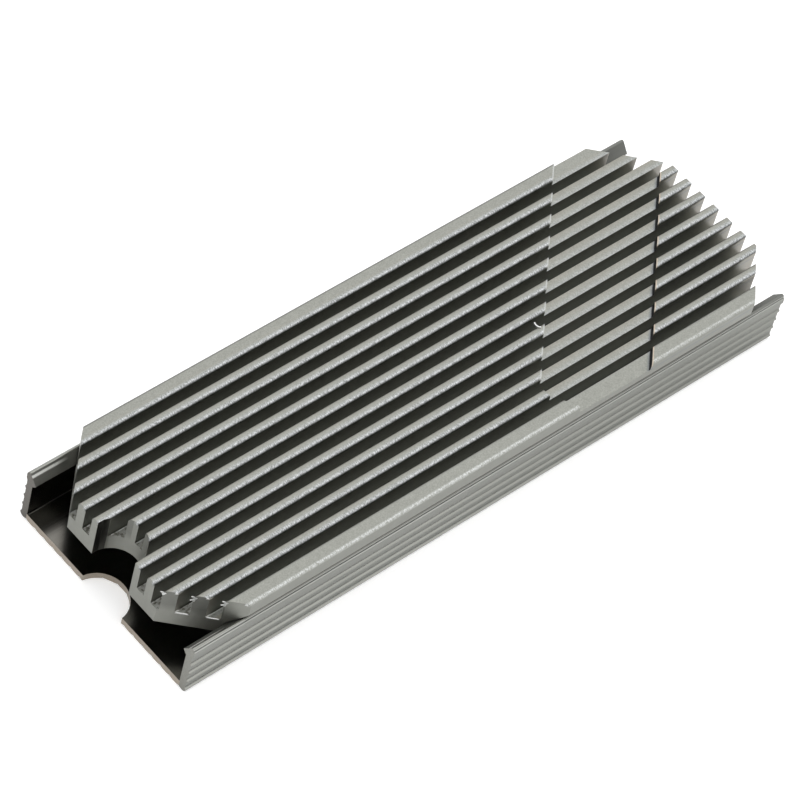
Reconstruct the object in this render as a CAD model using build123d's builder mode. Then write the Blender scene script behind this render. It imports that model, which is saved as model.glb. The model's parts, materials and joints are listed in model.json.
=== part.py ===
from build123d import *
import math
import os

# Clip-together aluminium heat sink for a 22 mm wide solid state drive board.
# A ribbed channel, the tray, lies under the board, and a finned cover slides over it on a
# pair of barbed rails. Both are lengths of extrusion with milled ends.
#
# Millimetres. X runs along the board, Y across it and Z up. The origin is the middle of
# the tray's underside, and the notch for the board's screw is at the -X end.

# The board that the heat sink holds, and the soft pads above and below it
board_width = 22.0
board_thickness = 2.2
board_side_gap = 0.25
lower_pad_thickness = 0.5
upper_pad_thickness = 1.0
pad_squeeze = 0.3
pad_end_inset = 8.05
pad_side_inset = 1.0

# Both lengths of extrusion, and how far the cover stands slid towards its plain end
sink_length = 76.1
cover_slide_offset = 0.33

# Tray: floor, side walls and the barb along the top of each wall
floor_thickness = 0.8
wall_thickness = 0.95
lip_width = 0.15
lip_height = 0.75
lip_bead_drop = 0.64
lip_bead_radius = 0.1
lip_groove_depth = 0.05
wall_top_radius = 0.2
barb_reach = 0.45
barb_tip_above_plate_bottom = 1.25
barb_slope_angle = 50.0
barb_undercut_angle = 45.0
barb_tip_radius = 0.08
channel_corner_radius = 0.15
outer_corner_radius = 0.45

# Shallow ridges along the underside, and flutes up the outside of the walls
ridge_pitch = 1.3
ridge_depth = 0.16
ridge_flat = 0.3
flute_flank_height = 0.19
flute_step_height = 0.3

# Cover: plate, fins, side bars and the groove that runs on the barbs
slide_clearance = 0.12
plate_side_clearance = 0.2
plate_thickness = 1.85
fin_height = 2.95
fin_thickness = 1.0
nominal_fin_pitch = 2.0
side_bar_width = 1.7
top_edge_radius = 0.35
fin_root_radius = 0.12

# Notch for the board's screw: round in the tray, and round with straight sides in the cover
cover_notch_radius = 2.7
cover_notch_centre_inset = 0.36
tray_notch_margin = 0.2
tray_notch_centre_beyond_end = 0.38

# Corners cut at 45 degrees, and the shallow band milled slantwise across the fins
notch_end_corner_cut = 5.87
plain_end_back_corner_cut = 5.65
plain_end_front_corner_cut = 5.4
plain_end_edge_radius = 0.3
band_depth = 0.8
band_angle = 45.0
band_start_before_plain_end = 22.4
band_width_along_fins = 15.1
band_turn_inset = 3.6
band_turn_angle = 30.0
band_turn_radius = 1.5
band_overrun = 1.0

# Worked out: half widths
channel_half = board_width / 2 + board_side_gap
tray_half = channel_half + wall_thickness
cover_half = tray_half
plate_half = channel_half - plate_side_clearance
barb_tip_y = channel_half - barb_reach
wall_top_y = tray_half - lip_width

# Worked out: heights from the underside up
upper_flank_slope = math.tan(math.radians(barb_slope_angle))
lower_flank_slope = math.tan(math.radians(barb_undercut_angle))
squeezed_stack = lower_pad_thickness + board_thickness + upper_pad_thickness - pad_squeeze
plate_bottom_z = floor_thickness + squeezed_stack
plate_top_z = plate_bottom_z + plate_thickness
cover_top_z = plate_top_z + fin_height
barb_tip_z = plate_bottom_z + barb_tip_above_plate_bottom
barb_foot_z = barb_tip_z - barb_reach * lower_flank_slope
wall_top_z = barb_tip_z + (wall_top_y - barb_tip_y) * upper_flank_slope
lip_bead_z = wall_top_z - lip_bead_drop

# Worked out: the cover's groove follows the barb at the sliding clearance
upper_flank_rise = slide_clearance / math.cos(math.radians(barb_slope_angle))
lower_flank_drop = slide_clearance / math.cos(math.radians(barb_undercut_angle))
flank_slopes = upper_flank_slope + lower_flank_slope
groove_apex_y = barb_tip_y - (upper_flank_rise + lower_flank_drop) / flank_slopes


def upper_flank_z(y):
    """Height of the groove's upper flank, which hangs over the barb's slope."""
    return barb_tip_z + upper_flank_rise + (y - barb_tip_y) * upper_flank_slope


def lower_flank_z(y):
    """Height of the groove's lower flank, which reaches in under the barb."""
    return barb_tip_z - lower_flank_drop - (y - barb_tip_y) * lower_flank_slope


# Worked out: fins share the width between the side bars
fin_field = 2 * (cover_half - side_bar_width)
gap_count = round((fin_field + fin_thickness) / nominal_fin_pitch)
fin_pitch = (fin_field + fin_thickness) / gap_count
gap_half = (fin_pitch - fin_thickness) / 2
root_radius = min(fin_root_radius, 0.8 * gap_half)

# Worked out: ends of both lengths, the notch and the pads
tray_notch_end_x = -sink_length / 2
cover_notch_end_x = cover_slide_offset - sink_length / 2
cover_plain_end_x = cover_slide_offset + sink_length / 2
tray_notch_radius = cover_notch_radius + tray_notch_margin
pad_length = sink_length - 2 * pad_end_inset
pad_width = board_width - 2 * pad_side_inset


def ridges(start, heading, outward, run):
    """Draw ridges side by side from start, over a run, and return where they end."""
    count = max(1, round(run / ridge_pitch))
    pitch = run / count
    rise = outward * ridge_depth
    flank = heading * ((pitch - ridge_flat) / 2)
    foot = start
    for _ in range(count):
        crest_start = foot + flank + rise
        crest_end = crest_start + heading * ridge_flat
        next_foot = foot + heading * pitch
        TangentArc(crest_start, foot, tangent=-heading)
        Line(crest_start, crest_end)
        TangentArc(crest_end, next_foot, tangent=heading)
        foot = next_foot
    return foot


def flutes(start, run):
    """Draw flutes up the side from start, over a run, and return the last crest."""
    count = max(1, round(run / ridge_pitch))
    climb = Vector(0, run / count)
    flank = Vector(-ridge_depth, flute_flank_height)
    step = Vector(ridge_depth, flute_step_height)
    crest = start
    for _ in range(count):
        next_crest = crest + climb
        Polyline(crest, crest + flank, next_crest - step, next_crest)
        crest = next_crest
    return crest


def draw_tray_half_outline():
    """Outline of the tray's section from the middle of the underside round to the floor."""
    across = Vector(1, 0)
    up = Vector(0, 1)
    down = Vector(0, -1)

    # The middle ridge is halved by the line of symmetry.
    flank_run = (ridge_pitch - ridge_flat) / 2
    corner_start_y = tray_half - outer_corner_radius
    last_foot_y = corner_start_y - flank_run
    half_ridge = ridge_pitch / 2
    first_foot = Vector(half_ridge, ridge_depth)
    Line((0, 0), (ridge_flat / 2, 0))
    TangentArc((ridge_flat / 2, 0), first_foot, tangent=across)
    last_foot = ridges(first_foot, across, down, last_foot_y - half_ridge)

    # The outer corner rolls up into the side, which is fluted up to the lip.
    corner_end = Vector(tray_half, outer_corner_radius)
    TangentArc((corner_start_y, 0), last_foot, tangent=-across)
    TangentArc((corner_start_y, 0), corner_end, tangent=across)
    side_run = lip_bead_z - lip_height - outer_corner_radius
    last_crest = flutes(corner_end, side_run)

    # The lip ends in a small bead, with a groove between it and the top of the wall.
    bead_foot = Vector(tray_half, lip_bead_z - lip_bead_radius)
    bead_top = Vector(tray_half - lip_bead_radius, lip_bead_z)
    groove = Vector(wall_top_y, lip_bead_z - lip_groove_depth)
    Line(last_crest, bead_foot)
    TangentArc(bead_foot, bead_top, tangent=up)
    Line(bead_top, groove)
    Line(groove, (wall_top_y, wall_top_z))

    # Barb and inner face, down to the floor.
    Polyline(
        (wall_top_y, wall_top_z),
        (barb_tip_y, barb_tip_z),
        (channel_half, barb_foot_z),
        (channel_half, floor_thickness),
        (0, floor_thickness),
    )


def near(y, z):
    """Make a test for the vertices at this distance from the middle and this height."""
    return lambda vertex: abs(abs(vertex.X) - y) < 1e-4 and abs(vertex.Y - z) < 1e-4


def at_height(z):
    """Make a test for the vertices at this height."""
    return lambda vertex: abs(vertex.Y - z) < 1e-4


with BuildPart() as tray:
    with BuildSketch(Plane.YZ) as tray_section:
        with BuildLine():
            draw_tray_half_outline()
            mirror(about=Plane.YZ)
        make_face()
        fillet(tray_section.vertices().filter_by(near(barb_tip_y, barb_tip_z)), barb_tip_radius)
        fillet(tray_section.vertices().filter_by(near(wall_top_y, wall_top_z)), wall_top_radius)
        fillet(
            tray_section.vertices().filter_by(near(channel_half, floor_thickness)),
            channel_corner_radius,
        )
    extrude(amount=sink_length / 2, both=True)
    with BuildSketch(Plane.XY):
        with Locations((tray_notch_end_x - tray_notch_centre_beyond_end, 0)):
            Circle(tray_notch_radius)
    extrude(amount=floor_thickness, mode=Mode.SUBTRACT)

with BuildPart() as finned_cover:
    with BuildSketch(Plane.YZ.offset(cover_slide_offset)) as cover_section:
        with BuildLine():
            Polyline(
                (0, plate_bottom_z),
                (plate_half, plate_bottom_z),
                (plate_half, lower_flank_z(plate_half)),
                (groove_apex_y, upper_flank_z(groove_apex_y)),
                (cover_half, upper_flank_z(cover_half)),
                (cover_half, cover_top_z),
                (0, cover_top_z),
            )
            mirror(about=Plane.YZ)
        make_face()
        with Locations((0, plate_top_z + fin_height / 2)):
            with GridLocations(fin_pitch, fin_pitch, gap_count, 1):
                Rectangle(fin_pitch - fin_thickness, fin_height, mode=Mode.SUBTRACT)
        gap_roots = cover_section.vertices().filter_by(at_height(plate_top_z))
        fillet(gap_roots, root_radius)
        # Blasting has rounded the top edges, so the fins are crowned except in the band.
        top_edges = cover_section.vertices().filter_by(at_height(cover_top_z))
        fillet(top_edges, top_edge_radius)
    extrude(amount=sink_length / 2, both=True)

    # The plain end is rubbed round, along its top edge and up the corners of its fins.
    rubbed_from_x = cover_plain_end_x - plain_end_edge_radius
    rubbed_gap = 2 * (gap_half + plain_end_edge_radius)
    with BuildSketch(Plane.XZ):
        with Locations((cover_plain_end_x, cover_top_z)):
            Rectangle(2 * plain_end_edge_radius, 2 * plain_end_edge_radius)
        with Locations((rubbed_from_x, cover_top_z - plain_end_edge_radius)):
            Circle(plain_end_edge_radius, mode=Mode.SUBTRACT)
    extrude(amount=cover_half, both=True, mode=Mode.SUBTRACT)
    with BuildSketch(Plane.XY.offset(plate_top_z)):
        with Locations((cover_plain_end_x, 0)):
            with GridLocations(fin_pitch, fin_pitch, 1, gap_count):
                Rectangle(2 * plain_end_edge_radius, rubbed_gap)
        with Locations((rubbed_from_x, 0)):
            with GridLocations(fin_pitch, fin_pitch, 1, gap_count):
                with Locations(
                    (0, gap_half + plain_end_edge_radius),
                    (0, -gap_half - plain_end_edge_radius),
                ):
                    Circle(plain_end_edge_radius, mode=Mode.SUBTRACT)
    extrude(amount=fin_height, mode=Mode.SUBTRACT)

    # Seen from above: the cut corners and the notch for the board's screw.
    with BuildSketch(Plane.XY) as cover_plan:
        with Locations((cover_slide_offset, 0)):
            Rectangle(sink_length, 2 * cover_half)
        notch_end_corners = cover_plan.vertices().group_by(Axis.X)[0]
        chamfer(notch_end_corners, notch_end_corner_cut)
        plain_end_corners = cover_plan.vertices().group_by(Axis.X)[-1].sort_by(Axis.Y)
        chamfer(plain_end_corners[0], plain_end_front_corner_cut)
        chamfer(plain_end_corners[1], plain_end_back_corner_cut)
        notch_centre_x = cover_notch_end_x + cover_notch_centre_inset
        with Locations((notch_centre_x, 0)):
            Circle(cover_notch_radius, mode=Mode.SUBTRACT)
            Rectangle(
                2 * cover_notch_centre_inset,
                2 * cover_notch_radius,
                mode=Mode.SUBTRACT,
            )
    extrude(amount=cover_top_z, mode=Mode.INTERSECT)

    # The slanting band. Its first step turns back near the front edge, where the cutter left.
    slant = 1 / math.tan(math.radians(band_angle))
    back_y = cover_half + band_overrun
    front_y = -back_y
    turn_y = band_turn_inset - cover_half
    first_step_x = cover_plain_end_x - band_start_before_plain_end
    second_step_x = first_step_x + band_width_along_fins
    turn_x = first_step_x + turn_y * slant
    front_run = (turn_y - front_y) * math.tan(math.radians(band_turn_angle))
    # Behind this gap the band runs on to the plain end, so that no thin tip is left there.
    last_gap_y = 3 * fin_pitch
    with BuildSketch(Plane.XY.offset(cover_top_z)) as band:
        Polygon(
            (turn_x, turn_y),
            (turn_x + front_run, front_y),
            (second_step_x + front_y * slant, front_y),
            (second_step_x + last_gap_y * slant, last_gap_y),
            (cover_plain_end_x + band_overrun, last_gap_y),
            (cover_plain_end_x + band_overrun, back_y),
            (first_step_x + back_y * slant, back_y),
        )
        fillet(band.vertices().sort_by(Axis.X)[0], band_turn_radius)
    extrude(amount=-band_depth, mode=Mode.SUBTRACT)

# The upper pad is stuck to the cover, so it stands slid along with it.
with BuildPart() as upper_thermal_pad:
    with BuildSketch(Plane.XY.offset(plate_bottom_z)):
        with Locations((cover_slide_offset, 0)):
            Rectangle(pad_length, pad_width)
    extrude(amount=-upper_pad_thickness)

with BuildPart() as lower_thermal_pad:
    with BuildSketch(Plane.XY.offset(floor_thickness)):
        Rectangle(pad_length, pad_width)
    extrude(amount=lower_pad_thickness)

os.makedirs("parts", exist_ok=True)

tray.part.label = "tray"
export_step(tray.part, "parts/tray.step")
finned_cover.part.label = "finned_cover"
export_step(finned_cover.part, "parts/finned_cover.step")
upper_thermal_pad.part.label = "upper_thermal_pad"
export_step(upper_thermal_pad.part, "parts/upper_thermal_pad.step")
lower_thermal_pad.part.label = "lower_thermal_pad"
export_step(lower_thermal_pad.part, "parts/lower_thermal_pad.step")
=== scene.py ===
# %% [markdown]
# # An aluminium heat sink for a slim drive board
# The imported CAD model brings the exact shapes: a fluted channel, a finned cover that slides on
# it, and the two soft pads between them. This script gives them their finish, replaces the pads
# with modelled ones, adds the small burrs that the cutter leaves, and sets the studio.

# %% Load the frame
import json
import math
import bpy
from mathutils import Matrix, Quaternion, Vector

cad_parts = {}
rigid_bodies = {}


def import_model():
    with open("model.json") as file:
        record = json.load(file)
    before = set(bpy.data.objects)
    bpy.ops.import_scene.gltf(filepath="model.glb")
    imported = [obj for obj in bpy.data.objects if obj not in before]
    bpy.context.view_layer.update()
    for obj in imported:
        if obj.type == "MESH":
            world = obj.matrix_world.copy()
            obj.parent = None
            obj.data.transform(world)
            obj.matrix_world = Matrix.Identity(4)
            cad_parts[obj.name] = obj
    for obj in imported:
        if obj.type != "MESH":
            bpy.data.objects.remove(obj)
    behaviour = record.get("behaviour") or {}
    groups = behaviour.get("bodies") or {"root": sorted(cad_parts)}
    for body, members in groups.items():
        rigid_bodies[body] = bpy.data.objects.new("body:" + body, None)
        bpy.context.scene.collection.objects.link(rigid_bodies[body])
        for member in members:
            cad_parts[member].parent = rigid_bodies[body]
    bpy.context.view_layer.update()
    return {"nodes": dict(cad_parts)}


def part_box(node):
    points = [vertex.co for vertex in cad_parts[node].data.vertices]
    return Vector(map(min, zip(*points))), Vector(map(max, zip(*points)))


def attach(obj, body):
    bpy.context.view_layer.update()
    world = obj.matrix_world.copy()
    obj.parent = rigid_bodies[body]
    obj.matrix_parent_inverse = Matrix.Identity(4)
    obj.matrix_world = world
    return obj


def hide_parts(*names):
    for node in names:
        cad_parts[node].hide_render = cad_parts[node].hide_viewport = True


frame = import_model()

mm = 0.001
print("CAD nodes:", sorted(frame["nodes"]))

# %% [markdown]
# ## Sizes that the finish follows
# The finish isn't the same all over. It changes at the front edge of each fin, in the milled
# band and at the cut ends, so those places are named here, in millimetres. X runs along the
# part from the notch end, Y runs from the front to the back and Z upward.

# %% Places on the two extrusions
fin_pitch = 2.0
fin_thickness = 1.0
fin_front = (fin_pitch - fin_thickness) / 2
fin_back = fin_front + fin_thickness
cover_top = 9.0
band_top = 8.2
gap_floor = 6.05
cover_side = 12.2
bar_inner_side = 10.5
notch_half = 2.7
chips_back = 11.2
cover_notch_end = -37.72
notch_is_past = -33.0
notch_end_corner_cut = 5.87
cover_plain_end = 38.38
band_first_step = cover_plain_end - 22.4
band_second_step = band_first_step + 15.1
band_turn = -8.6
band_last_gap = 3 * fin_pitch
plain_end_corner_cut = 5.5
tray_floor_top = 0.8
channel_half = 11.25
barb_foot = 5.2
wall_top_inner = 11.85
lip_valley_height = 6.37
bar_shade_inward_of = 12.02
rail_highlight_line = 11.49
cover_covers_from = -32.0
print("A fin stands every", fin_pitch, "mm and is", fin_thickness, "mm thick")

# %% [markdown]
# ## Colours and nodes
# Colours are picked on a screen, so they are written as sRGB hex values, and one function
# turns them to the linear values that the shader works in. Two more start a material and add
# a node, so that each pattern below reads as a short list of steps.

# %% Helpers for colour and nodes
def from_hex(text):
    """Turn an sRGB colour such as "#8C8F8A" to linear red, green, blue and alpha."""
    channels = [int(text[i:i + 2], 16) / 255 for i in (1, 3, 5)]
    linear = [c / 12.92 if c <= 0.04045 else ((c + 0.055) / 1.055) ** 2.4 for c in channels]
    return (*linear, 1.0)


def add_node(material, kind, inputs=None, **settings):
    """Add a node with its settings, and fill or link its inputs."""
    node = material.node_tree.nodes.new(kind)
    for name, value in settings.items():
        setattr(node, name, value)
    for socket, value in (inputs or {}).items():
        if isinstance(value, bpy.types.NodeSocket):
            material.node_tree.links.new(value, node.inputs[socket])
        else:
            node.inputs[socket].default_value = value
    return node


def new_material(name):
    """Start a material, and return it with its main shader."""
    material = bpy.data.materials.new(name)
    material.use_nodes = True
    return material, material.node_tree.nodes["Principled BSDF"]


print("Mid grey #808080 is", round(from_hex("#808080")[0], 3), "in linear light")

# %% [markdown]
# ## The camera
# The photograph was taken with a long lens from above the notch end, a little turned. The
# camera stands on a ray from the middle of the part, given by its azimuth and elevation, and
# is then rolled about that ray.

# %% Camera
view_azimuth = -53.857
view_elevation = 50.401
view_roll = 16.33
view_distance = 430.53
view_lens = 203.08
view_sensor = 36.0
aim = Vector((-1.81, 0.276, 4.5))

azimuth = math.radians(view_azimuth)
elevation = math.radians(view_elevation)
outward = Vector((
    math.sin(azimuth) * math.cos(elevation),
    -math.cos(azimuth) * math.cos(elevation),
    math.sin(elevation),
))
camera_data = bpy.data.cameras.new("camera")
camera_data.lens = view_lens
camera_data.sensor_width = view_sensor
camera_data.clip_start = 10 * mm
camera = bpy.data.objects.new("camera", camera_data)
bpy.context.scene.collection.objects.link(camera)
camera.location = (aim + view_distance * outward) * mm
turn = outward.to_track_quat("Z", "Y") @ Quaternion((0, 0, 1), math.radians(view_roll))
camera.rotation_euler = turn.to_euler()
bpy.context.scene.camera = camera
print("Camera at", [round(v / mm, 1) for v in camera.location], "mm")

# %% [markdown]
# ## The studio
# The heat sink lies on white paper in a light tent, so all that the metal reflects is white.
# Each light is placed where one kind of surface mirrors it to the camera: the back light is
# seen in the flat tops, the edge light in the rounded front edges, and the low light in the
# flanks of the flutes along the side.

# %% World and lights
tent_radiance = 1.28
bpy.context.scene.view_settings.view_transform = "Standard"
world = bpy.data.worlds.new("light tent")
world.use_nodes = True
tent = world.node_tree.nodes["Background"]
tent.inputs["Color"].default_value = from_hex("#FFFFFF")
tent.inputs["Strength"].default_value = tent_radiance
bpy.context.scene.world = world


def add_soft_light(name, toward, distance, side, radiance):
    """Hang a square soft light in the direction toward, facing the part. Sizes are in mm."""
    light_data = bpy.data.lights.new(name, "AREA")
    light_data.shape = "SQUARE"
    light_data.size = side * mm
    light_data.energy = radiance * math.pi * (side * mm) ** 2
    light = bpy.data.objects.new(name, light_data)
    bpy.context.scene.collection.objects.link(light)
    direction = Vector(toward).normalized()
    light.location = direction * distance * mm
    light.rotation_euler = direction.to_track_quat("Z", "Y").to_euler()
    light.visible_camera = False
    print(name, "gives", round(light_data.energy, 3), "W")


add_soft_light("back light", (0.51, 0.38, 0.77), distance=600, side=420, radiance=0.3)
add_soft_light("edge light", (0.51, -0.22, 0.83), distance=500, side=230, radiance=0.9)
add_soft_light("low light", (0.32, -0.87, 0.28), distance=600, side=330, radiance=0.4)

# %% [markdown]
# ## The paper
# Plain white paper has no pattern that shows at this size, only a very faint unevenness. It
# lies on a light table, whose glow leaves only a trace of shadow beside the part. The glow is
# given to the camera alone, so that it doesn't change the light on the metal.

# %% Floor
def clear_selection():
    """Deselect all, so that the next operator acts on its own piece alone."""
    for thing in bpy.context.scene.objects:
        thing.select_set(False)


paper_side = 3000
paper_fibre = 4
glow_to_camera = 0.2
clear_selection()
bpy.ops.mesh.primitive_plane_add(size=paper_side * mm, location=(0, 0, 0))
floor = bpy.context.active_object
floor.name = "paper_floor"

paper, paper_shader = new_material("white paper")
paper_place = add_node(paper, "ShaderNodeTexCoord").outputs["Object"]
paper_fibres = add_node(paper, "ShaderNodeTexNoise", {
    "Vector": paper_place, "Scale": 1 / (paper_fibre * mm),
})
paper_tone = add_node(paper, "ShaderNodeMix", {
    "Factor": paper_fibres.outputs[0],
    "A": from_hex("#FAFAFA"),
    "B": from_hex("#FCFCFC"),
}, data_type="RGBA")
paper.node_tree.links.new(paper_tone.outputs["Result"], paper_shader.inputs["Base Color"])
paper_shader.inputs["Roughness"].default_value = 0.9
seen_by_camera = add_node(paper, "ShaderNodeLightPath").outputs["Is Camera Ray"]
paper_glow = add_node(paper, "ShaderNodeMath", {
    0: seen_by_camera, 1: glow_to_camera,
}, operation="MULTIPLY")
paper.node_tree.links.new(paper_glow.outputs[0], paper_shader.inputs["Emission Strength"])
paper_shader.inputs["Emission Color"].default_value = from_hex("#FFFFFF")
floor.data.materials.append(paper)
print("Paper laid,", paper_side, "mm wide")

# %% [markdown]
# ## The thermal pads' material: filled silicone rubber
# A thermal pad is soft silicone, filled with ceramic powder that carries the heat. The powder
# makes it pale, matte and faintly speckled. The film that covers it until it is used leaves
# the print of its fine diamond pattern, two crossing waves. A wave texture of scale 1 repeats
# every 0.314 of its units, so its scale is that period over the pitch.

# %% Silicone: speckle and diamond print
powder_grain = 0.25
kneaded_patch = 5.0
diamond_pitch = 0.7
diamond_depth = 0.04
wave_period = 0.314
silicone, silicone_shader = new_material("ceramic-filled silicone rubber")
silicone_place = add_node(silicone, "ShaderNodeVectorMath", {
    0: add_node(silicone, "ShaderNodeTexCoord").outputs["Object"],
    "Scale": 1 / mm,
}, operation="SCALE").outputs[0]
powder = add_node(silicone, "ShaderNodeTexNoise", {
    "Vector": silicone_place, "Scale": 1 / powder_grain, "Detail": 2.0,
})
kneading = add_node(silicone, "ShaderNodeTexNoise", {
    "Vector": silicone_place, "Scale": 1 / kneaded_patch, "Detail": 1.0,
})
one_way = add_node(silicone, "ShaderNodeMapping", {
    "Vector": silicone_place, "Rotation": (0.0, 0.0, math.radians(45)),
})
print_rows = add_node(silicone, "ShaderNodeTexWave", {
    "Vector": one_way.outputs[0], "Scale": wave_period / diamond_pitch,
}, bands_direction="X")
print_columns = add_node(silicone, "ShaderNodeTexWave", {
    "Vector": one_way.outputs[0], "Scale": wave_period / diamond_pitch,
}, bands_direction="Y")
diamonds = add_node(silicone, "ShaderNodeMath", {
    0: print_rows.outputs[1], 1: print_columns.outputs[1],
}, operation="MAXIMUM")
print("Diamonds stand", diamond_pitch, "mm apart")

# %% [markdown]
# ### Silicone: how it looks
# The powder makes pale specks, the kneading leaves soft patches, and the diamonds are raised.

# %% Silicone: colour, roughness and bump
powder_tone = add_node(silicone, "ShaderNodeMapRange", {
    "Value": powder.outputs[0],
    "From Min": 0.35, "From Max": 0.65, "To Min": 0.0, "To Max": 1.0,
})
silicone_tone = add_node(silicone, "ShaderNodeMix", {
    "Factor": powder_tone.outputs[0],
    "A": from_hex("#8F989F"),
    "B": from_hex("#A6AEB4"),
}, data_type="RGBA")
silicone_patches = add_node(silicone, "ShaderNodeMix", {
    "Factor": kneading.outputs[0],
    "A": silicone_tone.outputs["Result"],
    "B": from_hex("#999FA3"),
}, data_type="RGBA")
silicone.node_tree.links.new(silicone_patches.outputs["Result"], silicone_shader.inputs["Base Color"])
silicone_roughness = add_node(silicone, "ShaderNodeMapRange", {
    "Value": powder.outputs[0],
    "From Min": 0.3, "From Max": 0.7, "To Min": 0.5, "To Max": 0.68,
})
silicone.node_tree.links.new(silicone_roughness.outputs[0], silicone_shader.inputs["Roughness"])
silicone_bump = add_node(silicone, "ShaderNodeBump", {
    "Height": diamonds.outputs[0], "Distance": diamond_depth * mm, "Strength": 0.8,
})
silicone.node_tree.links.new(silicone_bump.outputs[0], silicone_shader.inputs["Normal"])
silicone_shader.inputs["IOR"].default_value = 1.41
silicone_shader.inputs["Subsurface Weight"].default_value = 0.0
print("Silicone mixed, with", powder_grain, "mm powder")

# %% [markdown]
# ## The thermal pads
# Each pad is cut from a soft sheet, so its edges are a little rounded, its long sides are drawn
# in between the corners, and its face isn't quite flat. A grid is extruded to a slab, its rim
# is rounded with the Bevel modifier, and its points are then moved a little by given rules,
# as in sculpting. No cloth is simulated, because a rubber slab this thin doesn't swell.

# %% Make a pad inside its CAD solid
pad_drawn_in = 0.15
pad_sag = 0.03
turn_per_mm_along = 0.31
turn_per_mm_across = 0.55


def cut_pad(name, node, body, rim):
    """Make a soft slab that fills the node's box, with its rim rounded by rim millimetres."""
    low, high = (Vector(corner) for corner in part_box(node))
    size = high - low
    clear_selection()
    bpy.ops.mesh.primitive_grid_add(x_subdivisions=60, y_subdivisions=20, size=1.0)
    pad = bpy.context.active_object
    pad.name = name
    bpy.ops.transform.resize(value=(size.x, size.y, 1.0))
    bpy.ops.transform.translate(value=((low.x + high.x) / 2, (low.y + high.y) / 2, low.z))
    bpy.ops.object.transform_apply(location=True, rotation=True, scale=True)
    bpy.ops.object.mode_set(mode="EDIT")
    bpy.ops.mesh.select_all(action="SELECT")
    bpy.ops.mesh.extrude_region_move(TRANSFORM_OT_translate={"value": (0, 0, size.z)})
    bpy.ops.mesh.select_all(action="SELECT")
    bpy.ops.mesh.normals_make_consistent(inside=False)
    bpy.ops.object.mode_set(mode="OBJECT")
    rounding = pad.modifiers.new("rim", "BEVEL")
    rounding.limit_method = "ANGLE"
    rounding.width = rim * mm
    rounding.segments = 3
    bpy.ops.object.modifier_apply(modifier=rounding.name)
    middle = (low + high) / 2
    for vertex in pad.data.vertices:
        off_middle = vertex.co - middle
        along = off_middle.x / (size.x / 2)
        drawn_in = pad_drawn_in * mm * (1 - along ** 2)
        vertex.co.y -= math.copysign(drawn_in, off_middle.y) * abs(off_middle.y) / (size.y / 2)
        ripple_along = 0.3 * math.sin(off_middle.x / mm * turn_per_mm_along)
        ripple_across = 0.2 * math.cos(off_middle.y / mm * turn_per_mm_across)
        sag = pad_sag * mm * (0.5 + ripple_along + ripple_across)
        vertex.co.z -= off_middle.z / (size.z / 2) * sag
    bpy.ops.object.shade_smooth_by_angle(angle=math.radians(40))
    pad.data.materials.append(silicone)
    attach(pad, body)
    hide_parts(node)
    print(name, "is", [round(v / mm, 2) for v in pad.dimensions], "mm")


# %% [markdown]
# ### The two pads
# The upper pad rides on the cover and the thinner lower one on the tray.

# %% Both pads
cut_pad("upper_pad_soft", "upper_thermal_pad", "cover_body", rim=0.2)
cut_pad("lower_pad_soft", "lower_thermal_pad", "tray_body", rim=0.12)

# %% [markdown]
# ## The cover's finish: bead-blasted, grey anodised aluminium
# The real cover is extruded, sawn, milled, blasted with fine glass beads and anodised grey.
# Blasting leaves a satin grain and breaks the fins' front edges into small bright chips, and a
# highlight is painted along those edges with them. The grain of the real beads, about 0.1 mm,
# is just what one pixel of the photograph shows.

# %% Cover aluminium: where on the part are we
cover_metal, cover_shader = new_material("bead-blasted grey anodised aluminium")
cover_coordinates = add_node(cover_metal, "ShaderNodeTexCoord")
cover_place = add_node(cover_metal, "ShaderNodeVectorMath", {
    0: cover_coordinates.outputs["Object"],
    "Scale": 1 / mm,
}, operation="SCALE").outputs[0]
cover_axes = add_node(cover_metal, "ShaderNodeSeparateXYZ", {0: cover_place})
cover_facing = add_node(cover_metal, "ShaderNodeSeparateXYZ", {0: cover_coordinates.outputs["Normal"]})
facing_up = add_node(cover_metal, "ShaderNodeMapRange", {
    "Value": cover_facing.outputs["Z"],
    "From Min": 0.3, "From Max": 0.6, "To Min": 0.0, "To Max": 1.0,
})
on_band = add_node(cover_metal, "ShaderNodeMath", {
    0: cover_axes.outputs["Z"], 1: band_top, 2: 0.05,
}, operation="COMPARE")
print("The cover's patterns read millimetres")

# %% [markdown]
# ### Grain of the blasting
# Two sizes of noise are mixed: the beads' own pits, and soft patches where the blast was
# stronger. They change the colour a little and tilt the surface through a bump.

# %% Cover aluminium: grain
bead_grain = 0.14
blast_patch = 0.9
bead_pits = add_node(cover_metal, "ShaderNodeTexNoise", {
    "Vector": cover_place, "Scale": 1 / bead_grain, "Detail": 2.0, "Roughness": 0.6,
})
blast_patches = add_node(cover_metal, "ShaderNodeTexNoise", {
    "Vector": cover_place, "Scale": 1 / blast_patch, "Detail": 2.0,
})
pit_strength = add_node(cover_metal, "ShaderNodeMapRange", {
    "Value": facing_up.outputs[0],
    "From Min": 0.0, "From Max": 1.0, "To Min": 0.04, "To Max": 0.15,
})
pit_tone = add_node(cover_metal, "ShaderNodeMapRange", {
    "Value": bead_pits.outputs[0],
    "From Min": 0.3, "From Max": 0.7, "To Min": -1.0, "To Max": 1.0,
})
pit_tone = add_node(cover_metal, "ShaderNodeMath", {
    0: pit_tone.outputs[0], 1: pit_strength.outputs[0], 2: 1.0,
}, operation="MULTIPLY_ADD")
patch_tone = add_node(cover_metal, "ShaderNodeMapRange", {
    "Value": blast_patches.outputs[0],
    "From Min": 0.3, "From Max": 0.7, "To Min": 0.97, "To Max": 1.03,
})
grain_tone = add_node(cover_metal, "ShaderNodeMath", {
    0: pit_tone.outputs[0], 1: patch_tone.outputs[0],
}, operation="MULTIPLY")
print("Bead pits are drawn", bead_grain, "mm wide")

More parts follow.
